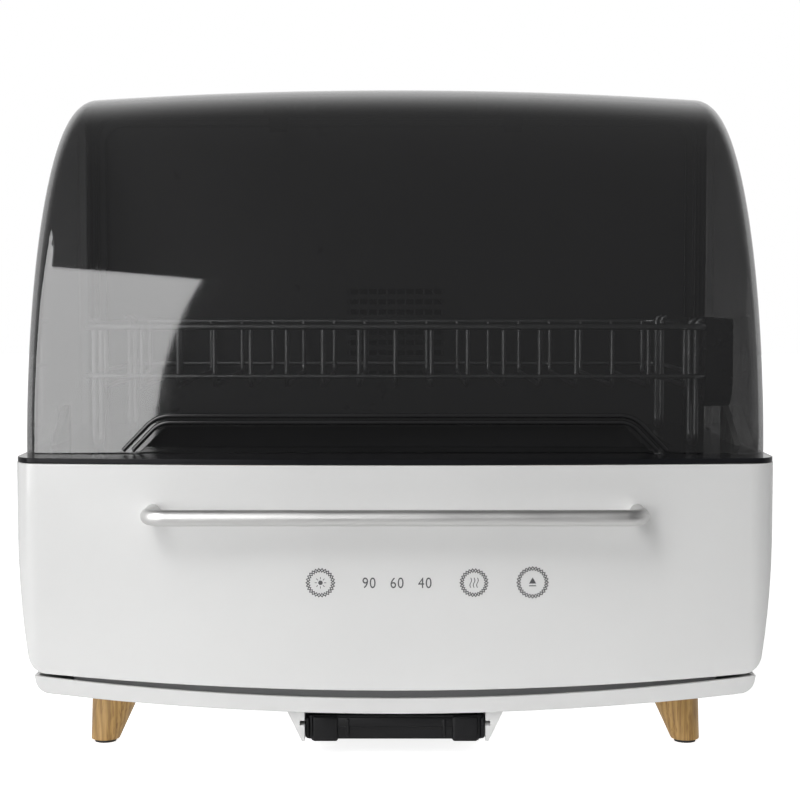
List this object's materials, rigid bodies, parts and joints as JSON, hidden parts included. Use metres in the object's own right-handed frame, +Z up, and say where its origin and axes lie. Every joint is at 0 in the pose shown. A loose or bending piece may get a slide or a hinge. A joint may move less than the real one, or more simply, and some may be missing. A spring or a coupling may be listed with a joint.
{
  "type": "dish sterilizer cabinet",
  "caption": "Countertop cabinet that dries and sterilizes dishes: smoked curved lid over a wire rack, white pull-out drawer with a bar handle and touch keys, drip tray, splayed wooden feet.",
  "frame": {"origin": "on the surface the feet stand on, under the middle of the overall box", "axes": "+X to the right of the front, +Y from the front to the back, +Z up"},
  "size_m": [0.48, 0.38, 0.448],
  "materials": {
    "shell_white": "gloss white moulded plastic",
    "deck_black": "gloss black moulded plastic",
    "pan_white": "satin white moulded plastic",
    "lid_smoke": "smoked, slightly see-through plastic",
    "rear_black": "gloss black moulded plastic",
    "foot_oak": "oiled light oak",
    "foot_rubber": "matt black rubber",
    "handle_steel": "satin brushed metal",
    "rack_chrome": "bright plated wire",
    "fastener_steel": "zinc-plated steel",
    "tray_black": "satin black plastic",
    "inner_grey": "matt grey moulded plastic",
    "runner_grey": "matt grey acetal",
    "board_green": "green circuit board",
    "pad_copper": "bare copper spring pads",
    "motor_black": "black fan plastic",
    "heater_aluminium": "bare fins",
    "heater_mica": "mica frame",
    "lamp_glass": "clear quartz tube",
    "basket_black": "satin black plastic"
  },
  "bodies": {
    "cabinet": {"base_pan": "pan_white", "body_shell": "shell_white", "tray_housing": "pan_white", "drain_tub": "deck_black", "drain_spout": "inner_grey", "foot_front_left": "foot_oak", "foot_front_right": "foot_oak", "foot_rear_left": "foot_oak", "foot_rear_right": "foot_oak", "foot_pads": "foot_rubber", "foot_screws": "fastener_steel", "drawer_rail_left": "runner_grey", "drawer_rail_right": "runner_grey", "rear_shell": "rear_black", "rear_panel": "rear_black", "rear_cover": "rear_black", "rear_cover_screws": "fastener_steel", "rear_standoffs": "inner_grey", "hinge_bracket_left": "rear_black", "hinge_bracket_right": "rear_black", "hinge_pin_left": "fastener_steel", "hinge_pin_right": "fastener_steel", "uv_lamp_holder": "rear_black", "uv_lamp_tube": "lamp_glass", "heater_frame": "heater_mica", "heater_fins": "heater_aluminium", "fan_housing": "motor_black", "fan_motor": "motor_black", "power_board": "board_green", "power_inlet": "rear_black", "lid_guide_left": "deck_black", "lid_guide_right": "deck_black"},
    "drawer": {"drawer_front": "shell_white", "drawer_inner_front": "inner_grey", "drawer_box": "inner_grey", "drawer_runner_left": "runner_grey", "drawer_runner_right": "runner_grey", "handle_bar": "handle_steel", "handle_screws": "fastener_steel", "control_board": "board_green", "touch_pads": "pad_copper"},
    "lid": {"lid_shell": "lid_smoke", "hinge_arm_left": "rear_black", "hinge_arm_right": "rear_black", "lid_bumpers": "foot_rubber"},
    "drip_tray": {"drip_tray": "tray_black"},
    "dish_rack": {"rack_rim": "rack_chrome", "rack_base_rail": "rack_chrome", "rack_wires": "rack_chrome", "rack_legs": "rack_chrome"},
    "cutlery_basket": {"cutlery_basket": "basket_black"},
    "fan": {"fan_impeller": "motor_black"}
  },
  "joints": [
    {"name": "lid_hinge", "type": "hinge", "parent": "cabinet", "child": "lid", "pos_m": [0, 0.13, 0.437], "axis": [-1, 0, 0], "range_deg": [0, 75]},
    {"name": "drawer_slide", "type": "slide", "parent": "cabinet", "child": "drawer", "axis": [0, -1, 0], "range_m": [0, 0.16]},
    {"name": "tray_slide", "type": "slide", "parent": "cabinet", "child": "drip_tray", "axis": [0, -1, 0], "range_m": [0, 0.19]},
    {"name": "rack_lift", "type": "slide", "parent": "cabinet", "child": "dish_rack", "axis": [0, 0, 1], "range_m": [0, 0.012]},
    {"name": "basket_lift", "type": "slide", "parent": "dish_rack", "child": "cutlery_basket", "axis": [0, 0, 1], "range_m": [0, 0.018]},
    {"name": "fan_spin", "type": "hinge", "parent": "cabinet", "child": "fan", "pos_m": [0, 0.165, 0.262], "axis": [0, 1, 0], "continuous": true}
  ]
}
